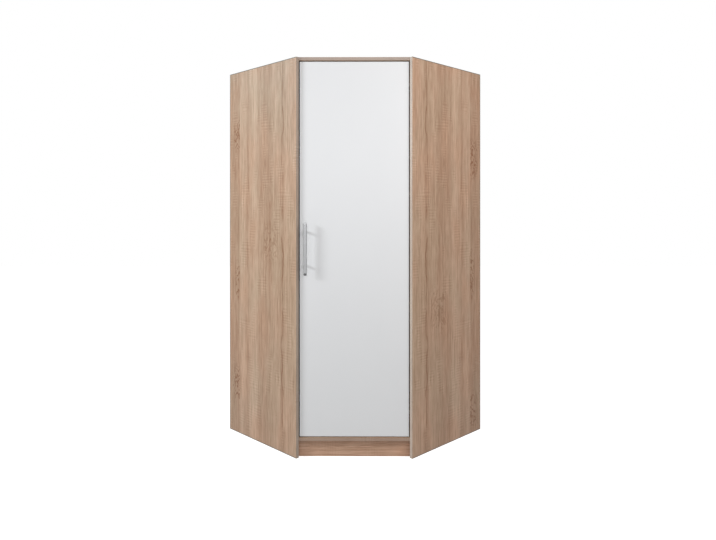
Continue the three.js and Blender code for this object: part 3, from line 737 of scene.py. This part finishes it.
def back_board_finish():
    material, graph, shader, place, normal = new_finish("hardboard")
    values = {"Place": place, "Flake": FIBRE_SIZE, "Light": FIBRE_LIGHT, "Dark": FIBRE_DARK}
    fibres = graph.group("raw_chips", values)
    behind = facing_any(graph, normal, [(DIAGONAL, DIAGONAL, 0), (-DIAGONAL, DIAGONAL, 0)])
    cloud = graph.noise(graph.stretch(place, (9, 9, 9)), detail=3)
    printed = graph.mix(cloud, *PRINT_TONES)
    graph.put(shader["Base Color"], graph.mix(behind, printed, fibres["Color"]))
    graph.put(shader["Roughness"], graph.math("MULTIPLY_ADD", behind, 0.25, 0.5))
    set_bump(graph, shader, graph.math("MULTIPLY", fibres["Height"], behind), 0.15 * MM, 0.5)
    return material


white_front = white_front_finish()
back_board = back_board_finish()
print("plain finishes:", white_front.name, back_board.name)

# %% [markdown]
# Three metals are used. The handle is brushed along its length and satin, the hinges are
# nickel-plated pressings, and the clothes rail is drawn tube with bright chrome. They differ
# in tone, in roughness and in which way their fine lines run. The slopes at the handle's
# ends would mirror a lit ceiling and a dim floor. The bare set has neither, so these slopes
# get a bright and a dark tone instead.

# %% Make the metals and the plastic
METAL_DULL = 0.9
PLASTIC_DULL = 0.96
HANDLE_SLOPES = ((0.60, 0.61, 0.62, 1), (0.12, 0.12, 0.122, 1))  # facing up, facing down


def worn_tone(graph, height, color, dull):
    """A colour that is a little duller in the hollows of the fine lines."""
    duller = tuple(dull * part for part in color)
    return graph.mix(graph.remap(height, 0.3, 0.7), (*duller, 1), (*color, 1))


def metal_finish(name, color, roughness, lines, line_strength=0.10, bump=0.02 * MM, slopes=()):
    material, graph, shader, place, normal = new_finish(name, metallic=1.0)
    values = {"Place": place, "Lines": lines, "Base": roughness, "Line Strength": line_strength}
    marks = graph.group("handling", values)
    tone = worn_tone(graph, marks["Height"], color, METAL_DULL)
    for way, slope_tone in zip((1, -1), slopes):
        lean = graph.math("MULTIPLY", graph.split(normal)[2], way)
        tone = graph.mix(graph.remap(lean, 0.25, 0.6), tone, slope_tone)
    graph.put(shader["Base Color"], tone)
    graph.put(shader["Roughness"], marks["Roughness"])
    set_bump(graph, shader, marks["Height"], bump, 0.3)
    return material


def plastic_finish(name, color):
    material, graph, shader, place, _ = new_finish(name)
    marks = graph.group("handling", {"Place": place, "Lines": (1200, 1200, 1200), "Base": 0.5})
    tone = worn_tone(graph, marks["Height"], color, PLASTIC_DULL)
    graph.put(shader["Base Color"], tone)
    graph.put(shader["Roughness"], marks["Roughness"])
    set_bump(graph, shader, marks["Height"], 0.04 * MM, 0.4)
    return material


satin_handle = metal_finish(
    "satin_handle", (0.395, 0.40, 0.405), 0.34, (2200, 2200, 18), slopes=HANDLE_SLOPES)
hinge_nickel = metal_finish("hinge_nickel", (0.60, 0.585, 0.55), 0.30, (500, 500, 500))
rail_chrome = metal_finish(
    "rail_chrome", (0.76, 0.77, 0.78), 0.14, (14, 1800, 1800), line_strength=0.06, bump=0.01 * MM)
zinc_screws = metal_finish("zinc_screws", (0.62, 0.60, 0.53), 0.34, (900, 900, 900))
white_plastic = plastic_finish("moulded_white", (0.78, 0.77, 0.74))
print("metals:", satin_handle.name, hinge_nickel.name, rail_chrome.name, zinc_screws.name)

# %% [markdown]
# The solid model arrives as loose triangles with hard corners. Real boards have edges that
# are rounded by a fraction of a millimetre and catch a thin line of light. Modifiers add
# that without touching the model: one welds the triangles and smooths what is round, one
# joins flat triangles to whole faces, and a bevel rounds the corners.

# %% Round the edges of the frame's pieces
WELD_DISTANCE = 0.002 * MM
SMOOTH_ANGLE = math.radians(32)
FLAT_ANGLE = math.radians(1)
CORNER_ANGLE = math.radians(40)


def smoothing_group():
    """A geometry group that welds a mesh, drops its stored normals and smooths round faces."""
    tree = bpy.data.node_groups.new("weld_and_smooth", "GeometryNodeTree")
    tree.interface.new_socket("Geometry", in_out="INPUT", socket_type="NodeSocketGeometry")
    tree.interface.new_socket("Geometry", in_out="OUTPUT", socket_type="NodeSocketGeometry")
    graph = Graph(tree)
    source = graph.node("NodeGroupInput").outputs[0]
    values = {"Geometry": source, "Distance": WELD_DISTANCE}
    welded = graph.node("GeometryNodeMergeByDistance", values).outputs[0]
    values = {"Geometry": welded, "Name": "custom_normal"}
    bare = graph.node("GeometryNodeRemoveAttribute", values).outputs[0]
    faces = graph.node("GeometryNodeSetShadeSmooth", {"Geometry": bare}, domain="FACE")
    faces.inputs["Shade Smooth"].default_value = True
    angle = graph.node("GeometryNodeInputMeshEdgeAngle").outputs["Unsigned Angle"]
    sharp = graph.node("ShaderNodeMath", {0: angle, 1: SMOOTH_ANGLE}, operation="GREATER_THAN")
    values = {"Geometry": faces.outputs[0], "Selection": sharp.outputs[0]}
    edges = graph.node("GeometryNodeSetShadeSmooth", values, domain="EDGE")
    edges.inputs["Shade Smooth"].default_value = False
    graph.node("NodeGroupOutput", {0: edges.outputs[0]})
    return tree


def round_edges(node, width):
    """Adds the smoothing and, where a width is given, a small bevel to a piece."""
    smooth = node.modifiers.new("weld_and_smooth", "NODES")
    smooth.node_group = smoothing
    flat = node.modifiers.new("whole_faces", "DECIMATE")
    flat.decimate_type = "DISSOLVE"
    flat.angle_limit = FLAT_ANGLE
    if width:
        bevel = node.modifiers.new("rounded_edges", "BEVEL")
        bevel.width = width
        bevel.segments = 2
        bevel.limit_method = "ANGLE"
        bevel.angle_limit = CORNER_ANGLE
        bevel.harden_normals = True


smoothing = smoothing_group()
print("edges sharper than", round(math.degrees(SMOOTH_ANGLE)), "degrees stay sharp")

# %% [markdown]
# Now each piece of the frame gets its finish and its rounding by name. Boards are rounded
# most, pressed and turned steel a little, and the drawn rail and the thin joiners not at all.

# %% Dress the frame's pieces
FINISHES = (  # how the name starts, its material and its rounding
    ("side_panel_left", oak_left, 0.6 * MM),
    ("side_panel_right", oak_right, 0.6 * MM),
    ("top_panel", oak_top, 0.5 * MM),
    ("bottom_panel", oak_bottom, 0.5 * MM),
    ("hat_shelf", oak_shelf, 0.5 * MM),
    ("front_plinth", oak_plinth, 0.5 * MM),
    ("rear_plinth_left", oak_rear_left, 0.5 * MM),
    ("rear_plinth_right", oak_rear_right, 0.5 * MM),
    ("corner_post", oak_post, 0.5 * MM),
    ("back_panel", back_board, 0.2 * MM),
    ("back_joiner", white_plastic, 0),
    ("rail_end_cap", white_plastic, 0.4 * MM),
    ("door_stop", white_plastic, 0.8 * MM),
    ("door_panel", white_front, 0.7 * MM),
    ("handle_bar", satin_handle, 0.35 * MM),
    ("handle_post", satin_handle, 0.2 * MM),
    ("handle_screw", zinc_screws, 0.2 * MM),
    ("hanging_rail", rail_chrome, 0),
    ("rail_hanger", hinge_nickel, 0.3 * MM),
    ("wall_bracket", hinge_nickel, 0.3 * MM),
    ("shelf_peg", hinge_nickel, 0.2 * MM),
    ("hinge_cup", hinge_nickel, 0.15 * MM),
    ("hinge_pin", hinge_nickel, 0.1 * MM),
    ("hinge_arm", hinge_nickel, 0.3 * MM),
    ("hinge_plate", hinge_nickel, 0.3 * MM),
)


def finish_for(name):
    for start, material, rounding in FINISHES:
        if name.startswith(start):
            return material, rounding
    raise ValueError("no finish for " + name)


for name, node in sorted(nodes.items()):
    material, rounding = finish_for(name)
    for slot in node.material_slots:
        slot.material = material
    round_edges(node, rounding)
print("dressed:", len(nodes), "pieces")

# %% [markdown]
# A wardrobe is held together by small hardware that the solid model leaves out: screws in
# the hinges, the rail's hangers and the brackets, round cam locks under the top and bottom
# boards, and the nails of the back. Each head is lofted: a stack of rings of equal count,
# closed at both ends. The cross in a screw is a ring pushed into the shape of a plus.

# %% Define how small round hardware is made
HEAD_SIDES = 24
SUNK = 0.3 * MM  # how far a head reaches into what it holds


def circle(radius, height, sides=HEAD_SIDES):
    turns = [2 * math.pi * index / sides for index in range(sides)]
    return [Vector((radius * math.cos(turn), radius * math.sin(turn), height)) for turn in turns]


def cross(half_length, half_slot, height):
    """A plus-shaped ring with as many points as a circle, starting at the same side."""
    middle = (half_slot + half_length) / 2
    quarter = (
        (half_length, 0), (half_length, half_slot), (half_slot, half_slot),
        (half_slot, middle), (half_slot, half_length), (half_slot / 2, half_length))
    spins = [Matrix.Rotation(index * math.pi / 2, 3, "Z") for index in range(4)]
    return [spin @ Vector((x, y, height)) for spin in spins for x, y in quarter]


def loft(mesh, rings, matrix):
    """Adds one closed body to a mesh in the making, from rings of equal count."""
    rows = [[mesh.verts.new(matrix @ point) for point in ring] for ring in rings]
    for lower, upper in zip(rows, rows[1:]):
        for index in range(len(lower)):
            after = (index + 1) % len(lower)
            mesh.faces.new((lower[index], lower[after], upper[after], upper[index]))
    mesh.faces.new(list(reversed(rows[0])))
    mesh.faces.new(rows[-1])


def facing_matrix(place, direction, turn=0.0):
    """Stands local Z on a surface: at a place, pointing in a direction."""
    stand = Vector(direction).to_track_quat("Z", "Y").to_matrix().to_4x4()
    return Matrix.Translation(place) @ stand @ Matrix.Rotation(turn, 4, "Z")


def hardware(name, heads, body="carcass"):
    """Makes one piece from several heads. A head is its rings and where it stands."""
    mesh = bmesh.new()
    for rings, matrix in heads:
        loft(mesh, rings, matrix)
    bmesh.ops.recalc_face_normals(mesh, faces=mesh.faces)
    for face in mesh.faces:
        face.smooth = True
    for edge in mesh.edges:
        if len(edge.link_faces) == 2 and edge.calc_face_angle() > SMOOTH_ANGLE:
            edge.smooth = False
    data = bpy.data.meshes.new(name)
    mesh.to_mesh(data)
    mesh.free()
    data.materials.append(zinc_screws)
    piece = bpy.data.objects.new(name, data)
    bpy.context.scene.collection.objects.link(piece)
    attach(piece, body)


def screw_rings(radius, height):
    return [
        circle(radius, -SUNK),
        circle(radius, 0.25 * height),
        circle(0.9 * radius, 0.75 * height),
        circle(0.68 * radius, height),
        cross(0.56 * radius, 0.13 * radius, height),
        cross(0.40 * radius, 0.08 * radius, 0.1 * height),
    ]


def middle_of(name):
    low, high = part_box(name)
    return (low + high) / 2


# %% [markdown]
# Each hinge shows six screws: two hold the cup in the door, two hold the plate on the side
# panel, and two on the arm set the door's place. Those in the cup ride on the door, the
# others stay on the cabinet. No two crosses stand at the same angle.

# %% Add the hinge screws
HINGES = 4
EAR_MARGIN = 6 * MM  # from the end of the cup's flange to its screw
EAR_FROM_RIM = 14 * MM  # from the cup's left side to its screws
FLANGE_TOP = 1.5 * MM  # above the door's rear face
PLATE_SCREW_HALF = 16 * MM
PLATE_WING_DROP = 1.1 * MM  # from the plate's middle down to its wings
ARM_TOP_RISE = 5.87 * MM  # from the plate's middle up to the arm's face
ARM_SCREW_PLACES = (-10 * MM, 11 * MM)
HINGE_SCREW = (3.6 * MM, 1.5 * MM)  # radius and height


def add_hinge_screws(number):
    low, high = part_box(f"hinge_cup_{number}")
    inward = Vector((-DIAGONAL, DIAGONAL, 0))
    along = Vector((DIAGONAL, DIAGONAL, 0))
    screw = screw_rings(*HINGE_SCREW)
    turn = 0.4 + 0.7 * number
    heads = []
    for z in (low.z + EAR_MARGIN, high.z - EAR_MARGIN):
        place = Vector((low.x + EAR_FROM_RIM, door_high.y + FLANGE_TOP, z))
        heads.append((screw, facing_matrix(place, BACK, turn + z)))
    hardware(f"cup_screws_{number}", heads, "door")
    middle = middle_of(f"hinge_plate_{number}")
    heads = []
    for way in (-1, 1):
        place = middle - inward * PLATE_WING_DROP + Vector((0, 0, way * PLATE_SCREW_HALF))
        heads.append((screw, facing_matrix(place, inward, turn + way)))
    hardware(f"plate_screws_{number}", heads)
    heads = []
    for shift in ARM_SCREW_PLACES:
        place = middle + along * shift + inward * ARM_TOP_RISE
        heads.append((screw, facing_matrix(place, inward, turn + 9 * shift)))
    hardware(f"arm_screws_{number}", heads)


for number in range(1, HINGES + 1):
    add_hinge_screws(number)
print("hinge screws:", 6 * HINGES)

# %% [markdown]
# The rail hangs from the hat shelf, so its three hangers take two screws each, from below.
# The two angle brackets tie the top board to the walls; their screws sit in both legs.

# %% Add the screws of the rail and the brackets
DOWN = (0, 0, -1)
HANGER_SCREW = (3.2 * MM, 1.3 * MM)  # radius and height
HANGER_SCREW_HALF = 15 * MM
HANGER_PLATE = 3 * MM
BRACKET_SCREW = (4.2 * MM, 1.6 * MM)
BRACKET_SCREW_HALF = 18 * MM
BRACKET_LEG = 40 * MM
BRACKET_THICKNESS = 2 * MM
BRACKET_HOLE_SHIFT = 1 * MM
BRACKET_UPRIGHT_SHIFT = 18 * MM  # from the bracket's middle to the face of its upright leg


def add_hanger_screws(place_name):
    low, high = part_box(f"rail_hanger_{place_name}")
    middle = (low + high) / 2
    heads = []
    for way in (-1, 1):
        place = Vector((middle.x, middle.y + way * HANGER_SCREW_HALF, high.z - HANGER_PLATE))
        heads.append((screw_rings(*HANGER_SCREW), facing_matrix(place, DOWN, 0.6 * way)))
    hardware(f"hanger_screws_{place_name}", heads)


def add_bracket_screws(side, way_x):
    low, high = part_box(f"wall_bracket_{side}")
    middle = (low + high) / 2
    to_wall = Vector((way_x * DIAGONAL, DIAGONAL, 0))
    along_wall = Vector((way_x * DIAGONAL, -DIAGONAL, 0))
    heads = []
    for way in (-1, 1):
        shift = along_wall * way * BRACKET_SCREW_HALF
        under = middle - to_wall * BRACKET_HOLE_SHIFT + shift
        under.z = high.z - BRACKET_THICKNESS
        heads.append((screw_rings(*BRACKET_SCREW), facing_matrix(under, DOWN, way)))
        front = middle + to_wall * BRACKET_UPRIGHT_SHIFT + shift
        front.z = high.z - BRACKET_LEG / 2 - BRACKET_THICKNESS / 2
        heads.append((screw_rings(*BRACKET_SCREW), facing_matrix(front, -to_wall, 0.5 * way)))
    hardware(f"bracket_screws_{side}", heads)


for place_name in ("left", "centre", "right"):
    add_hanger_screws(place_name)
add_bracket_screws("left", -1)
add_bracket_screws("right", 1)
print("rail and bracket screws: 14")

# %% [markdown]
# Flat-pack boards are drawn together by cam locks: a disc in the underside of a board turns
# with a screwdriver and pulls on a bolt in the next one. They lie 34 mm from the joint, two
# to a side, under the top board and under the bottom board.

# %% Add the cam locks
CAM_RADIUS = 7.4 * MM
CAM_PROUD = 0.4 * MM
CAM_FROM_JOINT = 34 * MM
CAM_PLACES = (0.06, 0.46)  # metres from the front edge


def cam_rings():
    return [
        circle(CAM_RADIUS, -SUNK),
        circle(CAM_RADIUS, 0.6 * CAM_PROUD),
        circle(0.93 * CAM_RADIUS, CAM_PROUD),
        circle(0.60 * CAM_RADIUS, CAM_PROUD),
        cross(0.50 * CAM_RADIUS, 0.11 * CAM_RADIUS, CAM_PROUD),
        cross(0.42 * CAM_RADIUS, 0.08 * CAM_RADIUS, -0.5 * SUNK),
    ]


def add_cams(name, way_x, height):
    inward = Vector((-way_x * DIAGONAL, DIAGONAL, 0))
    along = Vector((way_x * DIAGONAL, DIAGONAL, 0))
    corner = Vector((way_x * front_corner.x, front_corner.y, height))
    heads = []
    for shift in CAM_PLACES:
        place = corner + along * shift + inward * CAM_FROM_JOINT
        heads.append((cam_rings(), facing_matrix(place, DOWN, 3 * shift)))
    hardware(name, heads)


for side, way_x in (("left", -1), ("right", 1)):
    add_cams(f"cam_locks_top_{side}", way_x, top_low.z)
    add_cams(f"cam_locks_bottom_{side}", way_x, bottom_low.z)
print("cam locks:", 4 * len(CAM_PLACES))

# %% [markdown]
# The hardboard backs are what keeps the carcass square. They are nailed all round: into the
# side panels, into the rear edges of the three level boards and into the post in the corner.
# The nail heads are placed by their distance along the wall and their height.

# %% Nail the backs
NAIL_RADIUS = 2.3 * MM
NAIL_PROUD = 0.5 * MM
NAIL_SIDES = 10
NAIL_PITCH = 0.11
BACK_BEHIND = 1.1 * MM  # from the wall to the back's rear face
NAIL_MARGIN = 4 * MM  # from the side panel's inner face, in its rebate
END_MARGIN = 0.03  # from the ends of a back to the first nail of a row
POST_LINE = 0.022  # from the room's corner to the nails in the post


def dome_rings(radius, height, sides):
    return [
        circle(radius, -SUNK, sides),
        circle(radius, 0.2 * height, sides),
        circle(0.75 * radius, 0.8 * height, sides),
        circle(0.3 * radius, height, sides),
    ]


def wall_place(way_x, along, height):
    """A place on the rear face of a back board, by its distance along the wall."""
    x = way_x * (along - BACK_BEHIND) * DIAGONAL
    return Vector((x, room_corner_y - (along + BACK_BEHIND) * DIAGONAL, height))


def spaced(low, high):
    """Evenly spaced values from low to high, about one nail pitch apart."""
    steps = max(1, round((high - low) / NAIL_PITCH))
    return [low + (high - low) * index / steps for index in range(steps + 1)]


def add_nails(side, way_x, part, low, high, upright_at):
    outward = Vector((way_x * DIAGONAL, DIAGONAL, 0))
    heights = [middle_of(name).z for name in ("bottom_panel", "hat_shelf", "top_panel")]
    spots = [(along, height) for height in heights for along in spaced(low, high)]
    spots += [(upright_at, height) for height in spaced(heights[0], heights[2])[1:-1]]
    rings = dome_rings(NAIL_RADIUS, NAIL_PROUD, NAIL_SIDES)
    heads = [(rings, facing_matrix(wall_place(way_x, *spot), outward)) for spot in spots]
    hardware(f"back_nails_{side}_{part}", heads)
    return len(spots)


nails = 0
half_leg = wall_leg / 2
side_line = wall_leg - board + NAIL_MARGIN
for side, way_x in (("left", -1), ("right", 1)):
    nails += add_nails(side, way_x, "outer", half_leg + END_MARGIN, side_line, side_line)
    nails += add_nails(side, way_x, "inner", END_MARGIN, half_leg - END_MARGIN, POST_LINE)
print("nails:", nails)
